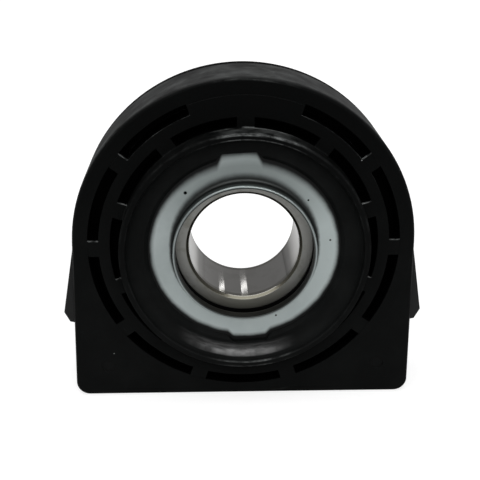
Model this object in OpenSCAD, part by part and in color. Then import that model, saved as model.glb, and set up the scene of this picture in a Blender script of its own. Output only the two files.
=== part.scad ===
// Driveshaft centre bearing: a sealed ball bearing in a slotted rubber cushion block.
// The bore runs along Y, the front faces -Y, and the origin is the middle of the bore.

/* [Ball bearing] */
// Bore of the inner ring, where the shaft is pressed in
bore_d = 40; // [34:0.5:42]
// Outside diameter of the outer ring
bearing_od = 80; // [78:0.5:88]
// Width of the inner ring, which stands out past the outer ring
inner_ring_w = 27; // [24:0.5:34]
// Width of the outer ring
outer_ring_w = 18; // [17.5:0.5:20]
// Step down from the inner ring's land to its ends, past the seals
end_step = 1; // [0.6:0.1:1.6]
// Chamfer on the outer corners of the inner ring's ends
end_chamfer = 0.3; // [0.2:0.1:0.6]
// Chamfer at the ends of the inner ring's bore
inner_chamfer = 1; // [0.4:0.1:1.2]
// Chamfer on the outer ring's corners and the inner ring's land
outer_chamfer = 0.5; // [0.3:0.1:0.8]
// Ball diameter
ball_d = 12; // [11:0.1:12.4]
// Number of balls
ball_count = 9; // [7:1:10]
// Radial clearance between the balls and the raceway floors
race_clear = 0.1; // [0.05:0.01:0.2]
// Height of the rings' shoulders above the raceway floors
shoulder_h = 2.1; // [1.5:0.1:2.6]
// Inner raceway radius divided by the ball diameter
inner_conformity = 0.52; // [0.515:0.005:0.54]
// Outer raceway radius divided by the ball diameter
outer_conformity = 0.53; // [0.515:0.005:0.54]

/* [Cage] */
// Thickness of the cage's sheet
cage_t = 0.9; // [0.6:0.05:1]
// Radial width of the cage ribbon
cage_w = 4.6; // [3.6:0.1:5.4]
// Clearance between a ball and its pocket
pocket_clear = 0.15; // [0.1:0.01:0.2]
// Shank diameter of the cage rivets
rivet_d = 1.8; // [1.4:0.1:2.2]
// Head diameter of the cage rivets
rivet_head_d = 3; // [2.6:0.1:3.4]
// Head height of the cage rivets
rivet_head_h = 0.7; // [0.4:0.1:1]
// Radial clearance of a rivet in its hole
rivet_clear = 0.02; // [0.01:0.01:0.05]

/* [Seals] */
// Thickness of a seal's rim
seal_t = 1.2; // [1:0.05:1.4]
// Thickness of a seal's web
seal_web_t = 0.7; // [0.5:0.05:0.9]
// Radial width of a seal's rim
seal_rim_w = 1.4; // [1:0.1:2]
// Radial length of a seal's lip
seal_lip_l = 1.3; // [0.8:0.1:2]
// Thickness of a seal's lip at its tip
seal_tip_t = 0.4; // [0.3:0.05:0.6]
// Depth of the seal seat in the outer ring
seal_seat = 1.6; // [1.2:0.1:2]
// Clearance between a seal's lip and the inner ring
seal_clear = 0.15; // [0.1:0.01:0.25]
// Clearance between a seal and the cage
seal_gap = 0.3; // [0.2:0.05:0.4]

/* [Sleeve and shields] */
// Wall of the steel sleeve in the hub
sleeve_t = 1.5; // [1:0.1:2.5]
// Sheet thickness of the dust shields
sheet_t = 1; // [0.8:0.1:1.3]
// Inside radius of the bend between a shield's skirt and face
bend_r = 0.5; // [0.3:0.1:1]
// Clearance between the inner ring's end and a shield's face
end_gap = 1.9; // [1:0.1:3]
// Clear diameter of a shield's collar
collar_d = 49.2; // [44:0.2:54]
// Length of a shield's collar in front of its face
collar_l = 4.7; // [3:0.1:6]
// Radius of the bend between a shield's face and collar
collar_bend_r = 1.2; // [0.6:0.1:2]
// Radius on the outer edge of a collar's free end
collar_edge_r = 0.5; // [0.2:0.1:0.7]

/* [Rubber hub] */
// Rubber between the sleeve and the inner slots
hub_wall = 2.9; // [2:0.1:5]
// Radial width of the hub's crest
crest_w = 2.4; // [1.8:0.1:3.5]
// Height of the crest in front of the shield's face
crest_h = 6.4; // [5:0.1:9]
// Radius on the crest's outer edge
crest_outer_r = 0.8; // [0.4:0.1:1]
// Radius on the crest's inner edge
crest_inner_r = 0.5; // [0.3:0.1:0.7]
// Radius of the dish between the lip and the crest
dish_r = 4.4; // [3:0.1:5.5]
// How far the lip reaches inwards from the crest's inner edge
lip_reach = 7.6; // [6:0.1:9]
// Thickness of the lip over the shield
lip_t = 1.4; // [0.8:0.1:2]
// Width of a lip notch at its outer end
notch_w = 12; // [8:0.2:18]
// Width of a lip notch at its inner end
notch_foot_w = 20; // [19:0.2:24]
// Depth of a lip notch past the lip's edge
notch_depth = 1.9; // [1:0.1:2.4]
// How far the slanted sides of a notch run in from the lip's edge
notch_foot = 3; // [2.5:0.1:4]
// Turn of the notches from the vertical
notch_turn = 3.5; // [0:0.5:20]

/* [Slots] */
// Positions round each ring of slots
slot_count = 10; // [8:1:12]
// Radial width of the inner slots
inner_slot_w = 3.6; // [2.5:0.1:5]
// Rubber ring between the two rings of slots
slot_ring_w = 4.1; // [3:0.1:6]
// Radial width of the outer slots
outer_slot_w = 3.9; // [2.5:0.1:5]
// Width of the webs between slots
web_w = 6; // [4:0.2:8]
// Rubber left between the front and rear slots
membrane_t = 5; // [3:0.5:8]

/* [Cushion block] */
// Depth of the block along the bore
block_d = 28.8; // [24:0.2:34]
// Rubber between the outer slots and the arch
rim_w = 5.6; // [4:0.1:9]
// Rubber between the lowest slot and the base
foot_t = 4.6; // [3:0.1:20]
// How much wider the base is than the arch, on each side
base_flare = 1.9; // [0.5:0.1:4]
// Radius of the block's lower corners
corner_r = 5; // [3:0.5:10]
// Radius along the edges of the block
edge_r = 1.5; // [0.8:0.1:2.5]
// Height of the raised middle panel over the face
panel_h = 0.4; // [0.2:0.1:0.8]
// Distance from the outer slots' outside to the panel's edge
panel_inset = 0.4; // [0.2:0.1:1]
// Diameter of the mould marks near the lower corners
mark_d = 5; // [3:0.5:7]
// Depth of the mould marks
mark_depth = 0.4; // [0.2:0.1:0.8]
// Distance of the mould marks from the corner's sides
mark_inset = 12.6; // [8:0.2:16]

/* [Side barbs] */
// Reach of a barb's tip past the arch
barb_out = 4.7; // [2:0.1:7]
// Drop from the bore's axis to a barb's tip
barb_drop = 26.3; // [18:0.5:32]
// Width of the barbs along the bore
barb_w = 24; // [10:0.5:24]
// Step in under a barb's tip
barb_hook = 2; // [1:0.1:3]
// Height of the step under a barb's tip
barb_hook_h = 3.9; // [2:0.1:6]
// Slope of a barb's underside, as a fall towards the block
barb_fall = 1.6; // [0.5:0.1:3]

/* [Hidden] */
$fn = 96;
ball_names = [for (i = [1:ball_count]) str("ball_", i)];

// Overrun of a cut past the face it opens through
cut = 1;

// Bearing radii, from the bore outwards
bore_r = bore_d / 2;
bearing_r = bearing_od / 2;
pitch_r = (bore_r + bearing_r) / 2;
ball_r = ball_d / 2;
inner_floor_r = pitch_r - ball_r - race_clear;
outer_floor_r = pitch_r + ball_r + race_clear;
inner_land_r = inner_floor_r + shoulder_h;
end_land_r = inner_land_r - end_step;
outer_land_r = outer_floor_r - shoulder_h;
inner_groove_r = inner_conformity * ball_d;
outer_groove_r = outer_conformity * ball_d;
ball_pitch = 360 / ball_count;
first_ball = 90;

// Cage and seal places along the bore, from the middle
pocket_r = ball_r + pocket_clear;
cage_half_h = pocket_r + cage_t;
seal_in_h = cage_half_h + seal_gap;
seal_mid_h = seal_in_h + seal_t / 2;
seal_seat_r = outer_land_r + seal_seat;
seal_lip_r = inner_land_r + seal_clear;

// Sleeve and shields
sleeve_or = bearing_r + sleeve_t;
bend_or = bend_r + sheet_t;
shield_face_h = inner_ring_w / 2 + end_gap + sheet_t;
sleeve_half = shield_face_h - bend_or;
collar_ir = collar_d / 2;
collar_or = collar_ir + sheet_t;

// Rubber hub
hub_r = sleeve_or + hub_wall;
crest_ir = hub_r - crest_w;
crest_end_h = shield_face_h + crest_h;
lip_r = crest_ir - lip_reach;
lip_face_h = shield_face_h + lip_t;
// The dish's radius is limited by the lip's length and the crest's height
dish_fit_r = min(dish_r, lip_reach - lip_t, crest_h - lip_t - crest_inner_r);

// Slot rings, as inner and outer radii
inner_slots = [hub_r, hub_r + inner_slot_w];
outer_slots = [inner_slots[1] + slot_ring_w, inner_slots[1] + slot_ring_w + outer_slot_w];
slot_pitch = 360 / slot_count;

// Outline of the block: arch, flared sides, rounded corners and flat base
arch_r = outer_slots[1] + rim_w;
axis_h = outer_slots[1] + foot_t;
base_half_w = arch_r + base_flare;
base_reach = sqrt(base_half_w * base_half_w + axis_h * axis_h);
flare = acos(arch_r / base_reach) - atan2(axis_h, base_half_w);
corner_reach = arch_r - corner_r;
side_l = (corner_reach * sin(flare) + axis_h - corner_r) / cos(flare);
corner_x = corner_reach * cos(flare) + side_l * sin(flare);
corner_y = corner_r - axis_h;

rubber_colour = [0.09, 0.09, 0.095];
shield_colour = [0.66, 0.68, 0.68];
ring_colour = [0.72, 0.70, 0.66];
sleeve_colour = [0.5, 0.5, 0.52];
cage_colour = [0.62, 0.6, 0.55];
seal_colour = [0.13, 0.13, 0.14];

// Shapes are drawn as seen from the front, with their height towards the viewer
module faced_front() {
    rotate([90, 0, 0])
        children();
}

// The same shape at the front and the rear
module both_faces() {
    for (side = [0, 1])
        mirror([0, 0, side])
            children();
}

// A section and its mirror image at the rear
module both_ends_2d() {
    for (side = [0, 1])
        mirror([0, side])
            children();
}

// What a rounding of the given radius takes off an outer corner
module corner_2d(r) {
    difference() {
        square(r + cut);
        circle(r);
    }
}

// Section of the block with a rounded edge at the given reach
module rim_2d(reach, width) {
    half = block_d / 2;
    difference() {
        translate([reach - width, -half])
            square([width, block_d]);
        both_ends_2d()
            translate([reach - edge_r, half - edge_r])
                corner_2d(edge_r);
    }
}

// The D-shaped block, one rim section carried round its outline
module block() {
    rotate_extrude(angle = 180)
        rim_2d(arch_r, arch_r);
    for (side = [0, 1])
        mirror([side, 0, 0]) {
            rotate([90, 0, flare])
                linear_extrude(side_l)
                    rim_2d(arch_r, corner_r);
            translate([corner_x, corner_y, 0])
                rotate_extrude()
                    rim_2d(corner_r, corner_r);
        }
    translate([corner_x, 0, 0])
        rotate([90, 0, -90])
            linear_extrude(2 * corner_x)
                rim_2d(axis_h, axis_h);
}

// Barb on one side: a sloped flank, a tip and a hooked underside
module barb() {
    tip = [arch_r + barb_out, -barb_drop];
    hook = [barb_hook, barb_hook_h];
    root_x = arch_r - corner_r;
    linear_extrude(barb_w, center = true)
        polygon([
            [root_x, 0],
            [arch_r, 0],
            tip,
            tip - hook,
            [root_x, tip[1] - hook[1] - barb_fall]
        ]);
}

// Hub section: a drum with a rounded outer crest
module hub_2d() {
    difference() {
        translate([0, -crest_end_h])
            square([hub_r, 2 * crest_end_h]);
        both_ends_2d()
            translate([hub_r - crest_outer_r, crest_end_h - crest_outer_r])
                corner_2d(crest_outer_r);
    }
}

// What the rubber closes round: the sleeve and the outer faces of the shields
module core_2d() {
    square([sleeve_or, sleeve_half]);
    square([bearing_r - bend_or, shield_face_h]);
    translate([bearing_r - bend_or, sleeve_half])
        circle(bend_or);
}

// Opening inside the lip and the dish up to the crest
module dish_2d() {
    open_h = crest_end_h + cut;
    fillet_h = lip_face_h + dish_fit_r;
    polygon([
        [0, 0],
        [lip_r, 0],
        [lip_r, shield_face_h],
        [lip_r + lip_t, lip_face_h],
        [crest_ir - dish_fit_r, lip_face_h],
        [crest_ir - dish_fit_r, open_h],
        [0, open_h]
    ]);
    translate([crest_ir - dish_fit_r, fillet_h])
        square([dish_fit_r, open_h - fillet_h]);
    translate([crest_ir - dish_fit_r, fillet_h])
        circle(dish_fit_r);
    difference() {
        translate([crest_ir - crest_inner_r, crest_end_h - crest_inner_r])
            square([2 * crest_inner_r, crest_inner_r + cut]);
        translate([crest_ir + crest_inner_r, crest_end_h - crest_inner_r])
            circle(crest_inner_r);
    }
}

// One ring of slots between parallel webs
module slot_ring_2d(radii, first_web) {
    difference() {
        circle(radii[1]);
        circle(radii[0]);
        for (i = [1:slot_count])
            rotate(first_web + i * slot_pitch)
                translate([radii[0] - cut, -web_w / 2])
                    square([radii[1] - radii[0] + 2 * cut, web_w]);
        children();
    }
}

// Solid sector that takes the place of the topmost outer slot
module top_sector_2d() {
    reach = arch_r / cos(slot_pitch / 2);
    polygon([
        [0, 0],
        [reach * sin(slot_pitch / 2), reach * cos(slot_pitch / 2)],
        [-reach * sin(slot_pitch / 2), reach * cos(slot_pitch / 2)]
    ]);
}

// Both rings of slots in one face, the webs of one ring facing the slots of the other
module slots() {
    translate([0, 0, membrane_t / 2])
        linear_extrude(block_d / 2 + panel_h + cut - membrane_t / 2) {
            slot_ring_2d(inner_slots, 90);
            slot_ring_2d(outer_slots, 90 + slot_pitch / 2)
                top_sector_2d();
        }
}

// Two notches in the lip that leave the shield bare
module lip_notches() {
    for (half_turn = [0, 180])
        rotate(notch_turn + half_turn)
            translate([0, lip_r, shield_face_h])
                linear_extrude(lip_t + cut)
                    polygon([
                        [-notch_w / 2, notch_depth],
                        [-notch_foot_w / 2, -notch_foot],
                        [notch_foot_w / 2, -notch_foot],
                        [notch_w / 2, notch_depth]
                    ]);
}

// Round mould marks near the lower corners
module mould_marks() {
    for (side = [-1, 1])
        translate([side * (base_half_w - mark_inset), mark_inset - axis_h, block_d / 2 - mark_depth])
            cylinder(h = mark_depth + cut, d = mark_d);
}

module rubber_cushion() {
    color(rubber_colour)
        faced_front()
            difference() {
                union() {
                    block();
                    for (side = [0, 1])
                        mirror([side, 0, 0])
                            barb();
                    cylinder(h = block_d + 2 * panel_h, r = outer_slots[1] - panel_inset, center = true);
                    rotate_extrude()
                        hub_2d();
                }
                rotate_extrude()
                    both_ends_2d() {
                        core_2d();
                        dish_2d();
                    }
                both_faces() {
                    slots();
                    lip_notches();
                    mould_marks();
                }
            }
}

module bearing_sleeve() {
    color(sleeve_colour)
        faced_front()
            difference() {
                cylinder(h = 2 * sleeve_half, r = sleeve_or, center = true);
                cylinder(h = 2 * (sleeve_half + cut), r = bearing_r, center = true);
            }
}

// Quarter of a sheet bend in the first quadrant
module bend_2d(inside_r) {
    intersection() {
        difference() {
            circle(inside_r + sheet_t);
            circle(inside_r);
        }
        square(inside_r + sheet_t);
    }
}

// Section of a pressed shield: skirt, bend, face, bend and collar
module shield_2d() {
    skirt_h = outer_ring_w / 2;
    face_start = collar_or + collar_bend_r;
    face_end = bearing_r - bend_or;
    collar_start = shield_face_h + collar_bend_r;
    collar_end = shield_face_h + collar_l;
    translate([bearing_r - sheet_t, skirt_h])
        square([sheet_t, sleeve_half - skirt_h]);
    translate([face_end, sleeve_half])
        bend_2d(bend_r);
    translate([face_start, shield_face_h - sheet_t])
        square([face_end - face_start, sheet_t]);
    translate([face_start, collar_start])
        rotate(180)
            bend_2d(collar_bend_r);
    difference() {
        translate([collar_ir, collar_start])
            square([sheet_t, collar_end - collar_start]);
        translate([collar_or - collar_edge_r, collar_end - collar_edge_r])
            corner_2d(collar_edge_r);
    }
}

module shield() {
    color(shield_colour)
        rotate_extrude()
            shield_2d();
}

module front_shield() {
    faced_front()
        shield();
}

module rear_shield() {
    faced_front()
        mirror([0, 0, 1])
            shield();
}

// Ring section between two radii, with chamfers on its inner and outer corners
module ring_2d(inner_r, outer_r, width, inner_cut, outer_cut) {
    half = width / 2;
    polygon([
        [inner_r, inner_cut - half],
        [inner_r + inner_cut, -half],
        [outer_r - outer_cut, -half],
        [outer_r, outer_cut - half],
        [outer_r, half - outer_cut],
        [outer_r - outer_cut, half],
        [inner_r + inner_cut, half],
        [inner_r, half - inner_cut]
    ]);
}

module inner_ring() {
    color(ring_colour)
        faced_front()
            rotate_extrude()
                difference() {
                    union() {
                        ring_2d(bore_r, end_land_r, inner_ring_w, inner_chamfer, end_chamfer);
                        ring_2d(bore_r + inner_chamfer, inner_land_r, outer_ring_w, 0, outer_chamfer);
                    }
                    translate([inner_floor_r + inner_groove_r, 0])
                        circle(inner_groove_r);
                }
}

module outer_ring() {
    seat_w = outer_ring_w / 2 - seal_in_h + cut;
    color(ring_colour)
        faced_front()
            rotate_extrude()
                difference() {
                    ring_2d(outer_land_r, bearing_r, outer_ring_w, 0, outer_chamfer);
                    translate([outer_floor_r - outer_groove_r, 0])
                        circle(outer_groove_r);
                    both_ends_2d()
                        translate([outer_land_r - cut, seal_in_h])
                            square([seal_seat + cut, seat_w]);
                }
}

// Section of a seal: rim in its seat, web and tapered lip
module seal_2d() {
    web_start = seal_lip_r + seal_lip_l;
    web_end = seal_seat_r - seal_rim_w;
    translate([web_end, seal_in_h])
        square([seal_rim_w, seal_t]);
    translate([web_start, seal_mid_h - seal_web_t / 2])
        square([web_end - web_start, seal_web_t]);
    polygon([
        [seal_lip_r, seal_mid_h - seal_tip_t / 2],
        [web_start, seal_mid_h - seal_t / 2],
        [web_start, seal_mid_h + seal_t / 2],
        [seal_lip_r, seal_mid_h + seal_tip_t / 2]
    ]);
}

module seal() {
    color(seal_colour)
        rotate_extrude()
            seal_2d();
}

module front_seal() {
    faced_front()
        seal();
}

module rear_seal() {
    faced_front()
        mirror([0, 0, 1])
            seal();
}

// Children at each ball, or half a pitch on for the rivets
module round_the_pitch(offset = 0) {
    for (i = [0:ball_count - 1])
        rotate(first_ball + (i + offset) * ball_pitch)
            translate([pitch_r, 0, 0])
                children();
}

// Half of the ribbon cage: flats between round pockets
module cage_half() {
    color(cage_colour)
        difference() {
            intersection() {
                union() {
                    cylinder(h = cage_t, r = pitch_r + cage_w);
                    round_the_pitch()
                        sphere(pocket_r + cage_t);
                }
                difference() {
                    cylinder(h = cage_half_h + cut, r = pitch_r + cage_w / 2);
                    cylinder(h = 2 * (cage_half_h + 2 * cut), r = pitch_r - cage_w / 2, center = true);
                }
            }
            round_the_pitch()
                sphere(pocket_r);
            round_the_pitch(0.5)
                cylinder(h = 2 * (cage_t + cut), d = rivet_d + 2 * rivet_clear, center = true);
        }
}

module front_cage_half() {
    faced_front()
        cage_half();
}

module rear_cage_half() {
    faced_front()
        mirror([0, 0, 1])
            cage_half();
}

module cage_rivets() {
    color(cage_colour)
        faced_front()
            round_the_pitch(0.5) {
                cylinder(h = 2 * cage_t, d = rivet_d, center = true);
                both_faces()
                    translate([0, 0, cage_t])
                        cylinder(h = rivet_head_h, d1 = rivet_head_d, d2 = rivet_d);
            }
}

module ball(i) {
    color(ring_colour)
        faced_front()
            rotate(first_ball + (i - 1) * ball_pitch)
                translate([pitch_r, 0, 0])
                    sphere(ball_r);
}

rubber_cushion();
bearing_sleeve();
front_shield();
rear_shield();
outer_ring();
inner_ring();
front_seal();
rear_seal();
front_cage_half();
rear_cage_half();
cage_rivets();
for (i = [1:ball_count])
    ball(i);
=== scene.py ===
import math

import bmesh
import bpy
from mathutils import Matrix, Quaternion, Vector


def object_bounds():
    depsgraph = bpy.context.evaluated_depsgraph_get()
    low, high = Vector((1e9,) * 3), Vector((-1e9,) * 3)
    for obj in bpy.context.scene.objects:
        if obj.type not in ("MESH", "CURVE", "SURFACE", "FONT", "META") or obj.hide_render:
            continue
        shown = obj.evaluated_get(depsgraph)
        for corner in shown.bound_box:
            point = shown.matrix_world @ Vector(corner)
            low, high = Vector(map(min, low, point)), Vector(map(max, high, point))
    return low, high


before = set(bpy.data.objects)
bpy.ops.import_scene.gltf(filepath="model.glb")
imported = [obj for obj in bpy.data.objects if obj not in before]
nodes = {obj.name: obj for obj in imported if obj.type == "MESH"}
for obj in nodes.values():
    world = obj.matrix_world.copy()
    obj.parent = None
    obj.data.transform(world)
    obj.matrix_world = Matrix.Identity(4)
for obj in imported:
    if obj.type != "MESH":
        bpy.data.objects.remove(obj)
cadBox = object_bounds()
scene = bpy.context.scene
scene.view_settings.view_transform = "Standard"
print("frame loaded:", len(nodes), "nodes")


# camera: in front of the bearing, a little to its left, looking down on it
cameraSettings = {
    "place": (-0.013571, -0.30095, 0.12031),
    "back": (-0.0386, -0.9248, 0.3785),
    "roll": math.radians(0.5),
    "lens": 65.05,
    "sensor": 36,
    "clip": (0.01, 50),
}


def placeCamera(settings):
    back = Vector(settings["back"]).normalized()
    level = Vector((0, 0, 1)).cross(back).normalized()
    upright = back.cross(level)
    right = level * math.cos(settings["roll"]) + upright * math.sin(settings["roll"])
    data = bpy.data.cameras.new("photoCamera")
    data.sensor_width = settings["sensor"]
    data.lens = settings["lens"]
    data.clip_start, data.clip_end = settings["clip"]
    camera = bpy.data.objects.new("photoCamera", data)
    scene.collection.objects.link(camera)
    turn = Matrix((right, back.cross(right), back)).transposed()
    camera.matrix_world = Matrix.Translation(settings["place"]) @ turn.to_4x4()
    scene.camera = camera


placeCamera(cameraSettings)
print("camera placed")


# small helpers for the node trees
def newFinish(name):
    finish = bpy.data.materials.new(name)
    finish.use_nodes = True
    tree = finish.node_tree
    return finish, tree, tree.nodes["Principled BSDF"]


def addNode(tree, kind, **settings):
    node = tree.nodes.new(kind)
    for key, value in settings.items():
        if hasattr(node, key):
            setattr(node, key, value)
        else:
            node.inputs[key.replace("_", " ")].default_value = value
    return node


def addMath(tree, operation, first, second=0.0, clamp=False):
    node = addNode(tree, "ShaderNodeMath", operation=operation, use_clamp=clamp)
    for socket, value in zip(node.inputs, (first, second)):
        if isinstance(value, (int, float)):
            socket.default_value = value
        else:
            tree.links.new(value, socket)
    return node.outputs[0]


def addProduct(tree, first, *others):
    for other in others:
        first = addMath(tree, "MULTIPLY", first, other)
    return first


def addLargest(tree, first, *others):
    for other in others:
        first = addMath(tree, "MAXIMUM", first, other)
    return first


# 1 where a value lies between two limits, 0 elsewhere
def addBetween(tree, value, low, high):
    above = addMath(tree, "GREATER_THAN", value, low)
    return addProduct(tree, above, addMath(tree, "LESS_THAN", value, high))


def addAway(tree, value, middle):
    return addMath(tree, "ABSOLUTE", addMath(tree, "SUBTRACT", value, middle))


# ramps in the settings: the two ends of a value, then what it gives at each end, 0 and 1 if left out
def addRamp(tree, value, low, high, outLow=0.0, outHigh=1.0, smooth=False):
    node = addNode(tree, "ShaderNodeMapRange", From_Min=low, From_Max=high, To_Min=outLow, To_Max=outHigh)
    node.interpolation_type = "SMOOTHSTEP" if smooth else "LINEAR"
    tree.links.new(value, node.inputs["Value"])
    return node.outputs["Result"]


def addNoise(tree, place, scale, detail, roughness):
    node = addNode(tree, "ShaderNodeTexNoise", Scale=scale, Detail=detail, Roughness=roughness)
    tree.links.new(place, node.inputs["Vector"])
    return node.outputs["Fac"]


def addMix(tree, share, first, second):
    node = addNode(tree, "ShaderNodeMix", data_type="RGBA")
    tree.links.new(share, node.inputs["Factor"])
    for socket, value in ((node.inputs[6], first), (node.inputs[7], second)):
        if isinstance(value, tuple):
            socket.default_value = (*value, 1)
        else:
            tree.links.new(value, socket)
    return node.outputs[2]


# round spot that fades out past its radius
def addSpot(tree, place, middle, size, soft):
    away = addNode(tree, "ShaderNodeVectorMath", operation="DISTANCE")
    tree.links.new(place, away.inputs[0])
    away.inputs[1].default_value = middle
    return addRamp(tree, away.outputs["Value"], size, size * soft, 1.0, 0.0)


def addBump(tree, height, strength, distance, normal=None):
    node = addNode(tree, "ShaderNodeBump", Strength=strength, Distance=distance)
    tree.links.new(height, node.inputs["Height"])
    if normal is not None:
        tree.links.new(normal, node.inputs["Normal"])
    return node.outputs["Normal"]


def softNormal(tree, radius, samples=6):
    return addNode(tree, "ShaderNodeBevel", samples=samples, Radius=radius).outputs["Normal"]


# how much an edge stands out, from the difference between the true and the softened normal
def edgeShare(tree, soft):
    true = addNode(tree, "ShaderNodeNewGeometry").outputs["Normal"]
    both = addNode(tree, "ShaderNodeVectorMath", operation="DOT_PRODUCT")
    tree.links.new(soft, both.inputs[0])
    tree.links.new(true, both.inputs[1])
    return addMath(tree, "SUBTRACT", 1.0, both.outputs["Value"], clamp=True)


def objectPlace(tree):
    return addNode(tree, "ShaderNodeTexCoord").outputs["Object"]


# places for patterns that follow the bearing: round the bore's axis, along it, and up and aside from it
def borePlaces(tree):
    place = objectPlace(tree)
    parts = addNode(tree, "ShaderNodeSeparateXYZ")
    tree.links.new(place, parts.inputs[0])
    x, along, z = parts.outputs
    radius = addMath(tree, "SQRT", addMath(tree, "ADD", addProduct(tree, x, x), addProduct(tree, z, z)))
    turn = addMath(tree, "ARCTAN2", z, x)
    upward = addMath(tree, "SINE", turn)
    sideways = addMath(tree, "COSINE", turn)
    return {
        "place": place,
        "radius": radius,
        "along": along,
        "depth": addMath(tree, "ABSOLUTE", along),
        "turn": turn,
        "upward": upward,
        "sideways": sideways,
        "height": addProduct(tree, radius, upward),
        "aside": addProduct(tree, radius, sideways),
    }


# moulded rubber: near black, matt on its faces, with a dusty bloom, painted shade in the slots, a painted
# sheen on the arch, painted highlights and some wear on the edges, and a polished dish
cushionSettings = {
    "colour": (0.0018, 0.002, 0.002),
    "bloom": (0.0105, 0.0112, 0.011),
    "handledAndSheen": (0.055, 0.0585, 0.0575),
    "slot": (0.0007, 0.0007, 0.0008),
    # pale colour of the painted edge highlights, some edge wear and the pale dots
    "paleWearAndHighlight": (0.3, 0.315, 0.31),
    # noises: scale, detail, roughness
    "patches": (70, 4, 0.6),
    "specks": (900, 2, 0.5),
    "mottles": (85, 6, 0.7),
    "highlightBreakup": (150, 4, 0.65),
    "streaks": (1.0, 3, 0.6),
    "webBreakup": (520, 2, 0.5),
    "wander": (130, 3, 0.55),
    "grain": (2400, 3, 0.6),
    "swell": (220, 2, 0.5),
    # dust, thinner towards the top and thicker in the dish
    "patchRange": (0.42, 0.72),
    "speckRange": (0.66, 0.74),
    "patchDust": (0.4, 0.6),
    "speckDust": 0.8,
    "dustByHeight": (0.05, -0.03, 0.15, 1.0),
    "dishEdge": (0.0422, 0.0418),
    "dishDust": (0.5, 0.9),
    # outside of the arch, mottled from handling and with a painted sheen towards its top
    "archRadius": (0.0575, 0.059),
    "archDepth": (0.0139, 0.0131),
    "archHeight": (0.0, 0.03),
    "mottleRange": (0.38, 0.68),
    # dark places: painted shade in the slots and along the arch's rear edge, and the mould marks
    "slotDepth": 0.0139,
    "slotRadius": 0.0561,
    "rearEdge": (0.0092, 0.0139),
    "rearRadius": 0.0585,
    "markDepth": (0.0139, 0.0141),
    "markRadius": 0.066,
    "markShare": 0.3,
    # painted highlights and some wear on the edges, mostly at the top
    "highlightBreakupRange": (0.4, 0.6),
    "streakSize": (7, 1600),
    "streakBreakup": (0.35, 0.62, 0.12, 1.0),
    "highlightMiddle": 0.004,
    "highlightAside": (0.004, 0.02, 1.0, 0.06),
    "highlightHeight": (0.0, 0.02, 0.4, 1.0),
    "edgeWearAndHighlight": (0.06, 0.5, 0.0, 0.05),
    "slotEdge": 0.0521,
    "slotEdgeWidth": (0.0003, 0.0006, 1.0, 0.0),
    "slotEdgeHighlight": (0.04, 0.2, 0.0, 0.4),
    "slotEdgeHeight": (0.02, 0.035),
    "webBreakupRange": (0.36, 0.6, 0.1, 1.0),
    # polished lower part of the hub's dish
    "dish": (0.0366, 0.0415),
    "dishRise": 0.0015,
    "dishFall": 0.0003,
    "dishDepth": 0.0165,
    "dishHeight": (-0.02, -0.03),
    "dishMiddle": -0.003,
    "dishAside": (0.006, 0.024, 1.0, 0.0),
    "dishStreaks": (0.35, 0.65, 0.35, 1.0),
    "dishGloss": 1.5,
    "dishRough": 0.6,
    # surface
    "faceDepth": (0.0134, 0.0142),
    "gloss": (0.4, 0.035),
    "darkGloss": 0.05,
    "wanderRange": (0.3, 0.7, 0.44, 0.58),
    "swellShare": 2.0,
    "edge": 0.0003,
    "relief": (0.18, 0.0002),
}
# painted highlight lines on the round edges: radius, half width, depths between which they show, strength
edgeHighlightLines = {
    "crestInside": (0.0422, 0.0004, 0.0220, 0.0240, 1.0),
    "crestOutside": (0.0440, 0.0007, 0.0214, 0.0240, 0.7),
    "drum": (0.0444, 0.0006, 0.0158, 0.0216, 0.2),
    "hubFoot": (0.0445, 0.0004, 0.0147, 0.0158, 0.8),
    "archEdge": (0.0607, 0.0006, 0.0132, 0.0150, 0.15),
}
# webs between the slots, for each ring of slots: its inner and outer radius, its first web's angle from the
# top, the heights between which the webs' upper edges get a painted highlight, and how strongly
webSettings = {
    "rings": (
        (0.0444, 0.048, 0.0, -0.013, 0.025, 0.5),
        (0.0521, 0.056, math.radians(18), 0.0, 0.037, 0.3),
    ),
    "pitch": math.radians(36),
    "half": 0.003,
    "line": (0.00015, 0.00035),
    "face": 0.0141,
}
# pale dots on the front face
dotSettings = {
    "places": [
        (-0.0485, -0.0144, -0.0426),
        (0.0202, -0.0144, -0.0344),
        (0.0443, -0.0144, -0.0106),
        (-0.0431, -0.0148, 0.0352),
        (0.0403, -0.0148, 0.0326),
    ],
    "size": 0.00014,
    "soft": 1.5,
}


def rubberDust(tree, at, settings):
    patches = addRamp(tree, addNoise(tree, at["place"], *settings["patches"]), *settings["patchRange"])
    specks = addRamp(tree, addNoise(tree, at["place"], *settings["specks"]), *settings["speckRange"])
    dusty = addRamp(tree, patches, 0, 1, *settings["patchDust"])
    dusty = addLargest(tree, dusty, addProduct(tree, specks, settings["speckDust"]))
    dusty = addProduct(tree, dusty, addRamp(tree, at["height"], *settings["dustByHeight"]))
    inDish = addRamp(tree, at["radius"], *settings["dishEdge"])
    inDish = addProduct(tree, inDish, addRamp(tree, patches, 0, 1, *settings["dishDust"]))
    return addLargest(tree, dusty, inDish)


# the outside of the arch is mottled from handling and painted lighter towards its top as a painted sheen
def rubberHandledAndSheen(tree, at, settings):
    outside = addRamp(tree, at["radius"], *settings["archRadius"])
    outside = addProduct(tree, outside, addRamp(tree, at["depth"], *settings["archDepth"]))
    outside = addProduct(tree, outside, addRamp(tree, at["height"], *settings["archHeight"]))
    mottled = addRamp(tree, addNoise(tree, at["place"], *settings["mottles"]), *settings["mottleRange"])
    return addProduct(tree, outside, mottled)


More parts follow.
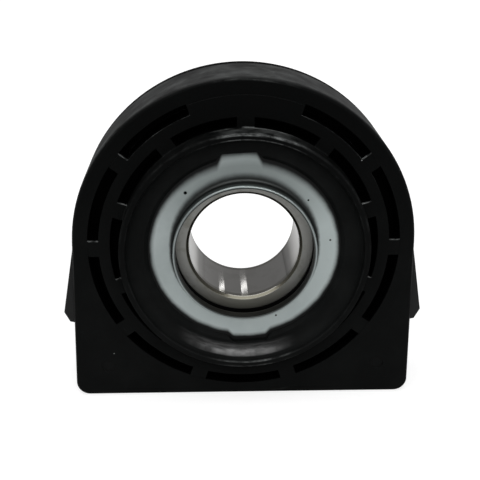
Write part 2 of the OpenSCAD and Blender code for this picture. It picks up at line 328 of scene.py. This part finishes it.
def rubberDark(tree, at, settings):
    inSlots = addMath(tree, "LESS_THAN", at["depth"], settings["slotDepth"])
    inSlots = addProduct(tree, inSlots, addMath(tree, "LESS_THAN", at["radius"], settings["slotRadius"]))
    rearEdge = addMath(tree, "GREATER_THAN", at["radius"], settings["rearRadius"])
    rearEdge = addProduct(tree, rearEdge, addBetween(tree, at["along"], *settings["rearEdge"]))
    inMarks = addMath(tree, "GREATER_THAN", at["radius"], settings["markRadius"])
    inMarks = addProduct(tree, inMarks, addBetween(tree, at["depth"], *settings["markDepth"]))
    return addLargest(tree, inSlots, rearEdge, addProduct(tree, inMarks, settings["markShare"]))


def edgeHighlightShare(tree, at, lines):
    shares = []
    for line, half, near, far, strength in lines.values():
        away = addAway(tree, at["radius"], line)
        across = addRamp(tree, away, 0, half, strength, 0.0, smooth=True)
        shares.append(addProduct(tree, across, addBetween(tree, at["depth"], near, far)))
    return addLargest(tree, *shares)


# noise drawn out into streaks round the bore
def rubberStreaks(tree, at, settings):
    coarse, fine = settings["streakSize"]
    place = addNode(tree, "ShaderNodeCombineXYZ")
    tree.links.new(addProduct(tree, at["sideways"], coarse), place.inputs[0])
    tree.links.new(addProduct(tree, at["upward"], coarse), place.inputs[1])
    tree.links.new(addProduct(tree, addMath(tree, "ADD", at["radius"], at["along"]), fine), place.inputs[2])
    return addNoise(tree, place.outputs[0], *settings["streaks"])


# painted highlights and some wear on the edges, mostly at the top and broken up along their length
def rubberWearAndHighlights(tree, at, edges, streaks, settings):
    breakupShare = addRamp(tree, addNoise(tree, at["place"], *settings["highlightBreakup"]), *settings["highlightBreakupRange"])
    breakupShare = addProduct(tree, breakupShare, addRamp(tree, streaks, *settings["streakBreakup"]))
    offTop = addAway(tree, at["aside"], settings["highlightMiddle"])
    topmost = addRamp(tree, offTop, *settings["highlightAside"], smooth=True)
    topmost = addProduct(tree, topmost, addRamp(tree, at["height"], *settings["highlightHeight"]))
    wearAndHighlight = addProduct(tree, edgeHighlightShare(tree, at, edgeHighlightLines), topmost)
    wearAndHighlight = addLargest(tree, wearAndHighlight, addRamp(tree, edges, *settings["edgeWearAndHighlight"]))
    # painted highlight on the inside edges of the upper outer slots
    slotEdge = addRamp(tree, addAway(tree, at["radius"], settings["slotEdge"]), *settings["slotEdgeWidth"])
    slotEdge = addProduct(tree, slotEdge, addRamp(tree, edges, *settings["slotEdgeHighlight"]))
    slotEdge = addProduct(tree, slotEdge, addRamp(tree, at["height"], *settings["slotEdgeHeight"]))
    return addProduct(tree, addLargest(tree, wearAndHighlight, slotEdge), breakupShare)


# painted highlight on the upper edge of each web, where a slot ends
def webEdges(tree, at, settings):
    fromTop = addMath(tree, "ARCCOSINE", at["upward"])
    edges = []
    for inner, outer, start, low, high, strength in settings["rings"]:
        steps = addMath(tree, "DIVIDE", addMath(tree, "SUBTRACT", fromTop, start), settings["pitch"])
        share = addMath(tree, "FRACT", addMath(tree, "ADD", steps, 0.5))
        angle = addProduct(tree, addMath(tree, "SUBTRACT", share, 0.5), settings["pitch"])
        across = addProduct(tree, at["radius"], addMath(tree, "SINE", angle))
        line = addRamp(tree, addAway(tree, across, -settings["half"]), *settings["line"], strength, 0.0)
        line = addProduct(tree, line, addBetween(tree, at["height"], low, high))
        edges.append(addProduct(tree, line, addBetween(tree, at["radius"], inner, outer)))
    onFace = addMath(tree, "GREATER_THAN", at["depth"], settings["face"])
    return addProduct(tree, addLargest(tree, *edges), onFace)


def webEdgeHighlights(tree, at, settings):
    broken = addRamp(tree, addNoise(tree, at["place"], *settings["webBreakup"]), *settings["webBreakupRange"])
    return addProduct(tree, webEdges(tree, at, webSettings), broken)


def dishPolish(tree, at, streaks, settings):
    inner, outer = settings["dish"]
    polish = addRamp(tree, at["radius"], inner, inner + settings["dishRise"], smooth=True)
    fall = addRamp(tree, at["radius"], outer - settings["dishFall"], outer, 1.0, 0.0)
    low = addRamp(tree, at["height"], *settings["dishHeight"])
    offMiddle = addAway(tree, at["aside"], settings["dishMiddle"])
    middle = addRamp(tree, offMiddle, *settings["dishAside"], smooth=True)
    front = addMath(tree, "GREATER_THAN", at["depth"], settings["dishDepth"])
    streaky = addRamp(tree, streaks, *settings["dishStreaks"])
    return addProduct(tree, polish, fall, low, middle, front, streaky)


def cushionRubber(settings):
    finish, tree, shader = newFinish("cushionRubber")
    link = tree.links.new
    at = borePlaces(tree)
    soft = softNormal(tree, settings["edge"])
    streaks = rubberStreaks(tree, at, settings)
    dark = rubberDark(tree, at, settings)
    wearAndHighlight = rubberWearAndHighlights(tree, at, edgeShare(tree, soft), streaks, settings)
    colour = addMix(tree, rubberDust(tree, at, settings), settings["colour"], settings["bloom"])
    # painted sheen towards the top of the arch, over handling mottles
    colour = addMix(tree, rubberHandledAndSheen(tree, at, settings), colour, settings["handledAndSheen"])
    # painted shade in the slots and on the arch's rear edge
    colour = addMix(tree, dark, colour, settings["slot"])
    # painted highlights and some wear on the edges
    colour = addMix(tree, wearAndHighlight, colour, settings["paleWearAndHighlight"])
    # painted highlights on the webs' upper edges
    colour = addMix(tree, webEdgeHighlights(tree, at, settings), colour, settings["paleWearAndHighlight"])
    for middle in dotSettings["places"]:
        dot = addSpot(tree, at["place"], middle, dotSettings["size"], dotSettings["soft"])
        colour = addMix(tree, dot, colour, settings["paleWearAndHighlight"])
    link(colour, shader.inputs["Base Color"])
    # faces are matt, the outside is glossier and the dish is polished
    polish = dishPolish(tree, at, streaks, settings)
    gloss = addRamp(tree, at["depth"], *settings["faceDepth"], *settings["gloss"])
    gloss = addProduct(tree, gloss, addRamp(tree, dark, 0, 1, 1.0, settings["darkGloss"]))
    gloss = addLargest(tree, gloss, addProduct(tree, polish, settings["dishGloss"]))
    link(gloss, shader.inputs["Specular IOR Level"])
    rough = addRamp(tree, addNoise(tree, at["place"], *settings["wander"]), *settings["wanderRange"])
    rough = addProduct(tree, rough, addRamp(tree, polish, 0, 1, 1.0, settings["dishRough"]))
    link(rough, shader.inputs["Roughness"])
    swell = addProduct(tree, addNoise(tree, at["place"], *settings["swell"]), settings["swellShare"])
    relief = addMath(tree, "ADD", addNoise(tree, at["place"], *settings["grain"]), swell)
    link(addBump(tree, relief, *settings["relief"], soft), shader.inputs["Normal"])
    return finish


# seal rubber: black and a little greasy
sealSettings = {
    "colour": (0.006, 0.006, 0.0065),
    "greasy": (0.012, 0.011, 0.009),
    "smears": (140, 4, 0.6),
    "smearRange": (0.4, 0.7),
    "rough": (0.5, 0.3),
    "gloss": 0.3,
    "grain": (2600, 2, 0.5),
    "relief": (0.15, 0.0001),
}


def sealRubber(settings):
    finish, tree, shader = newFinish("sealRubber")
    link = tree.links.new
    place = objectPlace(tree)
    smear = addRamp(tree, addNoise(tree, place, *settings["smears"]), *settings["smearRange"])
    link(addMix(tree, smear, settings["colour"], settings["greasy"]), shader.inputs["Base Color"])
    link(addRamp(tree, smear, 0, 1, *settings["rough"]), shader.inputs["Roughness"])
    shader.inputs["Specular IOR Level"].default_value = settings["gloss"]
    grain = addNoise(tree, place, *settings["grain"])
    link(addBump(tree, grain, *settings["relief"]), shader.inputs["Normal"])
    return finish


# pressed shield: dull grey plated sheet with painted light and shade, grime and painted shade round the
# collar, and rubber smear with painted shadow along the hub's lip
shieldSettings = {
    "colour": (0.63, 0.7, 0.695),
    "dull": (0.53, 0.6, 0.595),
    "bright": (0.765, 0.855, 0.845),
    "shaded": (0.32, 0.36, 0.355),
    "grimeAndShade": (0.035, 0.037, 0.036),
    "smear": (0.004, 0.0043, 0.0043),
    # noises: scale, detail, roughness
    "clouds": (90, 4, 0.6),
    "ragged": (420, 4, 0.65),
    "uneven": (200, 3, 0.6),
    "fine": (1500, 3, 0.6),
    "broad": (180, 2, 0.5),
    # plating, with painted light to the right and below and painted shade towards the top
    "cloudRange": (0.35, 0.7),
    "litSide": (0.2, 0.9, 0.0, 0.7),
    "litBelow": (-0.2, -0.8, 0.0, 0.5),
    "shadedTop": (0.3, 1.0, 0.0, 0.85),
    "shadedRadius": (0.0315, 0.034, 1.0, 0.5),
    # grime and painted shade in the bend round the collar and on the collar but for its edge
    "collarRadius": 0.0256,
    "faceDepth": (0.0164, 0.0168),
    "collarFlank": (0.0176, 0.0188, 0.98, 0.8),
    "collarEdge": (0.0205, 0.0207, 1.0, 0.12),
    "collarWall": (0.0248, 0.0252),
    "wallShadeAndGrime": (1.22, 1.0),
    "wallShadeAndSmear": (0.85, 0.0),
    "raggedReach": 0.0006,
    "bendWidth": (0.1, 1.0, 0.0014, 0.0038),
    "bendFade": (0.2, 1.0, 0.97, 0.0),
    # rubber smear and painted shadow along the lip and its two notches
    "lipRadius": 0.0344,
    "unevenReach": 0.0007,
    "steepReach": 0.0005,
    "fade": (0.3, 0.9, 0.0021, 0.0034),
    "notchTurn": math.radians(93.5),
    "notchSide": (0.0056, 0.0082, 0.00275, 0.0),
    "notchHeight": (-1.0, 1.0, 0.55, 1.2),
    # black specks on the front face: middle and radius
    "specks": [
        ((-0.0208, -0.0164, 0.0216), 0.0005),
        ((0.0221, -0.0164, 0.0187), 0.0003),
        ((0.0118, -0.0164, -0.0262), 0.0003),
        ((0.0305, -0.0164, 0.0036), 0.0003),
    ],
    "speckSoft": 1.4,
    # surface
    "metal": 0.88,
    "gloss": 0.2,
    "rough": (0.36, 0.46),
    "edge": 0.0003,
    "broadShare": 2.5,
    "relief": (0.1, 0.0002),
}


def shieldPlatingAndLight(tree, at, cloudy, settings):
    colour = addMix(tree, cloudy, settings["colour"], settings["dull"])
    # painted light to the right and below, painted shade towards the top
    lit = addRamp(tree, at["sideways"], *settings["litSide"])
    lit = addLargest(tree, lit, addRamp(tree, at["upward"], *settings["litBelow"]))
    colour = addMix(tree, lit, colour, settings["bright"])
    shade = addRamp(tree, at["upward"], *settings["shadedTop"])
    shade = addProduct(tree, shade, addRamp(tree, at["radius"], *settings["shadedRadius"]))
    return addMix(tree, shade, colour, settings["shaded"])


# grime and painted shade round the collar, wider at the top
def collarShadeAndGrime(tree, at, settings):
    ragged = addProduct(tree, addNoise(tree, at["place"], *settings["ragged"]), settings["raggedReach"])
    out = addMath(tree, "SUBTRACT", at["radius"], settings["collarRadius"])
    out = addMath(tree, "SUBTRACT", out, ragged)
    width = addRamp(tree, at["upward"], *settings["bendWidth"])
    bend = addRamp(tree, addMath(tree, "DIVIDE", out, width), *settings["bendFade"], smooth=True)
    flank = addRamp(tree, at["depth"], *settings["collarFlank"])
    flank = addMath(tree, "MINIMUM", flank, addRamp(tree, at["depth"], *settings["collarEdge"]))
    onFace = addRamp(tree, at["depth"], *settings["faceDepth"], 1.0, 0.0)
    onCollar = addMath(tree, "SUBTRACT", 1.0, onFace)
    stained = addMath(tree, "ADD", addProduct(tree, bend, onFace), addProduct(tree, flank, onCollar))
    wall = addRamp(tree, at["radius"], *settings["collarWall"], *settings["wallShadeAndGrime"])
    return addProduct(tree, stained, wall)


# how much further out the lip's edge lies in its two notches, which are half a turn apart
def notchReach(tree, at, settings):
    aside = addMath(tree, "SINE", addMath(tree, "SUBTRACT", at["turn"], settings["notchTurn"]))
    across = addMath(tree, "ABSOLUTE", addProduct(tree, at["radius"], aside))
    reach = addRamp(tree, across, *settings["notchSide"], smooth=True)
    return addProduct(tree, reach, addRamp(tree, at["upward"], *settings["notchHeight"]))


# rubber smear and painted shadow fading inwards from the lip
def lipSmearAndShadow(tree, at, settings):
    uneven = addProduct(tree, addNoise(tree, at["place"], *settings["uneven"]), settings["unevenReach"])
    reach = addMath(tree, "ADD", at["radius"], uneven)
    reach = addMath(tree, "SUBTRACT", reach, notchReach(tree, at, settings))
    steep = addProduct(tree, at["upward"], at["upward"], settings["steepReach"])
    reach = addMath(tree, "ADD", reach, steep)
    fade = addRamp(tree, at["upward"], *settings["fade"])
    inside = addMath(tree, "DIVIDE", addMath(tree, "SUBTRACT", settings["lipRadius"], reach), fade)
    return addRamp(tree, inside, 0.0, 1.0, 1.0, 0.0, smooth=True)


def shieldSteel(settings):
    finish, tree, shader = newFinish("shieldSteel")
    link = tree.links.new
    at = borePlaces(tree)
    cloudy = addRamp(tree, addNoise(tree, at["place"], *settings["clouds"]), *settings["cloudRange"])
    colour = shieldPlatingAndLight(tree, at, cloudy, settings)
    # grime and painted shade round the collar
    colour = addMix(tree, collarShadeAndGrime(tree, at, settings), colour, settings["grimeAndShade"])
    # painted shade and smear inside the collar's wall
    within = addRamp(tree, at["radius"], *settings["collarWall"], *settings["wallShadeAndSmear"])
    colour = addMix(tree, within, colour, settings["smear"])
    # rubber smear with a painted shadow along the hub's lip, where the metal gives way
    smear = lipSmearAndShadow(tree, at, settings)
    colour = addMix(tree, smear, colour, settings["smear"])
    for middle, size in settings["specks"]:
        speck = addSpot(tree, at["place"], middle, size, settings["speckSoft"])
        colour = addMix(tree, speck, colour, settings["smear"])
    link(colour, shader.inputs["Base Color"])
    link(addRamp(tree, smear, 0, 1, settings["metal"], 0.0), shader.inputs["Metallic"])
    shader.inputs["Specular IOR Level"].default_value = settings["gloss"]
    link(addRamp(tree, cloudy, 0, 1, *settings["rough"]), shader.inputs["Roughness"])
    broad = addProduct(tree, addNoise(tree, at["place"], *settings["broad"]), settings["broadShare"])
    relief = addMath(tree, "ADD", addNoise(tree, at["place"], *settings["fine"]), broad)
    soft = softNormal(tree, settings["edge"])
    link(addBump(tree, relief, *settings["relief"], soft), shader.inputs["Normal"])
    return finish


# bearing steel: ground bright, with fine turning lines that run round the axis
groundSettings = {
    "lines": (9000, 5200, 1.5),
    "grind": (1.0, 2, 0.6),
    "grindRange": (0.25, 0.75),
    "stains": (110, 4, 0.65),
    "stainRange": (0.48, 0.78),
    "edge": 0.0002,
    "relief": (0.01, 0.00005),
}
ballSettings = {
    "colour": (0.62, 0.61, 0.6),
    "stain": (0.5, 0.49, 0.47),
    "rough": (0.06, 0.12),
}
# the rings have oil-stained end faces outside the honed bore, darker towards the bottom, browner on the
# chamfer and the bore's rim
ringSettings = {
    "colour": (0.5, 0.49, 0.475),
    "stain": (0.42, 0.41, 0.39),
    "rough": (0.05, 0.065),
    "face": (0.44, 0.443, 0.42),
    "oily": (0.31, 0.306, 0.265),
    "chamfer": (0.19, 0.181, 0.145),
    "rim": (0.0102, 0.011, 0.0, 0.55),
    "outside": (0.0201, 0.0202),
    "onFace": (0.0208, 0.0211),
    "oil": (160, 4, 0.65),
    "oilRange": (0.5, 0.62, 0.0, 0.7),
    "darkerBelow": (-0.6, -0.95, 0.0, 0.9),
    "faceRough": 0.2,
}


def stainEnds(tree, at, colour, rough, settings):
    rim = addRamp(tree, at["depth"], *settings["rim"])
    outside = addRamp(tree, at["radius"], *settings["outside"])
    onFace = addRamp(tree, at["radius"], *settings["onFace"])
    colour = addMix(tree, rim, colour, settings["chamfer"])
    colour = addMix(tree, outside, colour, settings["chamfer"])
    oily = addRamp(tree, addNoise(tree, at["place"], *settings["oil"]), *settings["oilRange"])
    # the end faces are darker towards the bottom
    oily = addLargest(tree, oily, addRamp(tree, at["upward"], *settings["darkerBelow"]))
    colour = addMix(tree, onFace, colour, addMix(tree, oily, settings["face"], settings["oily"]))
    for place in (outside, onFace):
        rough = addMath(tree, "ADD", rough, addProduct(tree, place, settings["faceRough"]))
    return colour, rough


def groundSteel(name, settings):
    finish, tree, shader = newFinish(name)
    link = tree.links.new
    at = borePlaces(tree)
    lines = addNode(tree, "ShaderNodeCombineXYZ")
    for key, scale, socket in zip(("radius", "along", "upward"), groundSettings["lines"], lines.inputs):
        link(addProduct(tree, at[key], scale), socket)
    grind = addNoise(tree, lines.outputs[0], *groundSettings["grind"])
    stains = addNoise(tree, at["place"], *groundSettings["stains"])
    stains = addRamp(tree, stains, *groundSettings["stainRange"])
    colour = addMix(tree, stains, settings["colour"], settings["stain"])
    rough = addRamp(tree, grind, *groundSettings["grindRange"], *settings["rough"])
    if "face" in settings:
        colour, rough = stainEnds(tree, at, colour, rough, settings)
    link(colour, shader.inputs["Base Color"])
    shader.inputs["Metallic"].default_value = 1.0
    link(rough, shader.inputs["Roughness"])
    soft = softNormal(tree, groundSettings["edge"])
    link(addBump(tree, grind, *groundSettings["relief"], soft), shader.inputs["Normal"])
    return finish


# pressed cage and sleeve steel: duller, with a cloudy press finish
pressedSettings = {
    "clouds": (240, 4, 0.6),
    "cloudRange": (0.35, 0.7),
    "grain": (1800, 3, 0.6),
    "relief": (0.1, 0.0001),
}
cageSettings = {
    "colour": (0.42, 0.4, 0.36),
    "dull": (0.28, 0.265, 0.24),
    "rough": (0.3, 0.45),
}
sleeveSettings = {
    "colour": (0.3, 0.3, 0.31),
    "dull": (0.2, 0.2, 0.205),
    "rough": (0.4, 0.55),
}


def pressedSteel(name, settings):
    finish, tree, shader = newFinish(name)
    link = tree.links.new
    place = objectPlace(tree)
    cloudy = addNoise(tree, place, *pressedSettings["clouds"])
    cloudy = addRamp(tree, cloudy, *pressedSettings["cloudRange"])
    link(addMix(tree, cloudy, settings["colour"], settings["dull"]), shader.inputs["Base Color"])
    shader.inputs["Metallic"].default_value = 1.0
    link(addRamp(tree, cloudy, 0, 1, *settings["rough"]), shader.inputs["Roughness"])
    grain = addNoise(tree, place, *pressedSettings["grain"])
    link(addBump(tree, grain, *pressedSettings["relief"]), shader.inputs["Normal"])
    return finish


def dress(names, finish):
    for name in names:
        data = nodes[name].data
        data.materials.clear()
        data.materials.append(finish)


ballNames = sorted(name for name in nodes if name.startswith("ball_"))
dress(["rubber_cushion"], cushionRubber(cushionSettings))
dress(["front_seal", "rear_seal"], sealRubber(sealSettings))
dress(["front_shield", "rear_shield"], shieldSteel(shieldSettings))
dress(["inner_ring", "outer_ring"], groundSteel("bearingSteel", ringSettings))
dress(ballNames, groundSteel("ballSteel", ballSettings))
dress(["front_cage_half", "rear_cage_half", "cage_rivets"], pressedSteel("cageSteel", cageSettings))
dress(["bearing_sleeve"], pressedSteel("sleeveSteel", sleeveSettings))
print("finishes given to", len(nodes), "nodes")


# pale floor that keeps a soft shadow; the camera sees it as white, fully so away from the object, and the
# bore mirrors it as a glow that weakens behind the object and to its left
floorSettings = {
    "size": 4.0,
    "gap": 0.00005,
    "pale": (0.42, 0.42, 0.42),
    "dim": (0.24, 0.24, 0.24),
    "dimBehind": (0.18, 0.35),
    "white": (0.16, 0.45, 0.72, 1.0),
    "glow": (0.0, 0.1, 0.0, 0.36),
    "glowBehind": (0.16, 0.3, 1.0, 0.42),
    "glowAside": (-0.1, 0.05, 0.3, 1.0),
    "rough": 0.9,
}


def floorFinish(settings):
    finish, tree, shader = newFinish("paleFloor")
    link = tree.links.new
    place = objectPlace(tree)
    parts = addNode(tree, "ShaderNodeSeparateXYZ")
    link(place, parts.inputs[0])
    aside, behind = parts.outputs[:2]
    dim = addRamp(tree, behind, *settings["dimBehind"])
    link(addMix(tree, dim, settings["pale"], settings["dim"]), shader.inputs["Base Color"])
    shader.inputs["Roughness"].default_value = settings["rough"]
    shader.inputs["Specular IOR Level"].default_value = 0.0
    away = addNode(tree, "ShaderNodeVectorMath", operation="LENGTH")
    link(place, away.inputs[0])
    seen = addNode(tree, "ShaderNodeLightPath")
    white = addRamp(tree, away.outputs["Value"], *settings["white"])
    white = addProduct(tree, seen.outputs["Is Camera Ray"], white)
    glow = addRamp(tree, behind, *settings["glow"])
    glow = addProduct(tree, glow, addRamp(tree, behind, *settings["glowBehind"]))
    glow = addProduct(tree, glow, addRamp(tree, aside, *settings["glowAside"]))
    glow = addProduct(tree, seen.outputs["Is Glossy Ray"], glow)
    shader.inputs["Emission Color"].default_value = (1, 1, 1, 1)
    link(addMath(tree, "ADD", white, glow), shader.inputs["Emission Strength"])
    return finish


def layFloor(settings):
    mesh = bpy.data.meshes.new("paleFloor")
    level = cadBox[0][2] - settings["gap"]
    shape = bmesh.new()
    bmesh.ops.create_grid(shape, x_segments=1, y_segments=1, size=settings["size"])
    bmesh.ops.translate(shape, verts=shape.verts, vec=(0, 0, level))
    shape.to_mesh(mesh)
    shape.free()
    mesh.materials.append(floorFinish(settings))
    floor = bpy.data.objects.new("paleFloor", mesh)
    scene.collection.objects.link(floor)


layFloor(floorSettings)


# white studio round the object, dimmer for the light that falls on it and for what it mirrors
worldSettings = {
    "fill": 0.35,
    "front": 0.2,
    "backWall": (0.0, 0.4, 0.26, 0.215),
    "backAside": (-0.4, 0.1, 0.7, 1.0),
    "behind": (-0.35, 0.35),
}


def lightWorld(settings):
    world = bpy.data.worlds.new("studio")
    world.use_nodes = True
    scene.world = world
    tree = world.node_tree
    link = tree.links.new
    back = tree.nodes["Background"]
    seen = addNode(tree, "ShaderNodeLightPath")
    direction = addNode(tree, "ShaderNodeSeparateXYZ")
    link(addNode(tree, "ShaderNodeTexCoord").outputs["Generated"], direction.inputs[0])
    aside, away, upward = direction.outputs
    wall = addRamp(tree, upward, *settings["backWall"])
    wall = addProduct(tree, wall, addRamp(tree, aside, *settings["backAside"]))
    wall = addProduct(tree, wall, addRamp(tree, away, *settings["behind"], smooth=True))
    mirrored = addProduct(tree, seen.outputs["Is Glossy Ray"], addLargest(tree, wall, settings["front"]))
    plain = addMath(tree, "SUBTRACT", 1.0, seen.outputs["Is Glossy Ray"])
    level = addMath(tree, "ADD", mirrored, addProduct(tree, plain, settings["fill"]))
    link(addLargest(tree, level, seen.outputs["Is Camera Ray"]), back.inputs["Strength"])
    back.inputs["Color"].default_value = (1, 1, 1, 1)


lightWorld(worldSettings)


# soft panels aimed at the bore: one above, a fill by the camera and two small lamps behind for its glints
panelSettings = {
    "topPanel": {"place": (-0.1, -0.25, 0.75), "size": (1.0, 1.2), "roll": 0, "power": 6.0},
    "frontFill": {"place": (0.12, -0.75, 0.5), "size": (0.6, 0.6), "roll": 0, "power": 2.0},
    "backLampMiddle": {"place": (0.0195, 0.75, 0.338), "size": (0.075, 0.009), "roll": 0, "power": 0.0052},
    "backLampRight": {"place": (0.2647, 0.75, 0.216), "size": (0.07, 0.006), "roll": 47, "power": 0.004},
}


def hangPanel(name, settings):
    data = bpy.data.lights.new(name, "AREA")
    data.shape = "RECTANGLE"
    data.size, data.size_y = settings["size"]
    data.energy = settings["power"]
    panel = bpy.data.objects.new(name, data)
    scene.collection.objects.link(panel)
    panel.location = settings["place"]
    toward = -Vector(settings["place"])
    roll = Quaternion((0, 0, 1), math.radians(settings["roll"]))
    panel.rotation_euler = (toward.to_track_quat("-Z", "Y") @ roll).to_euler()


for panelName, panelSetting in panelSettings.items():
    hangPanel(panelName, panelSetting)
print("floor, studio and panels ready")
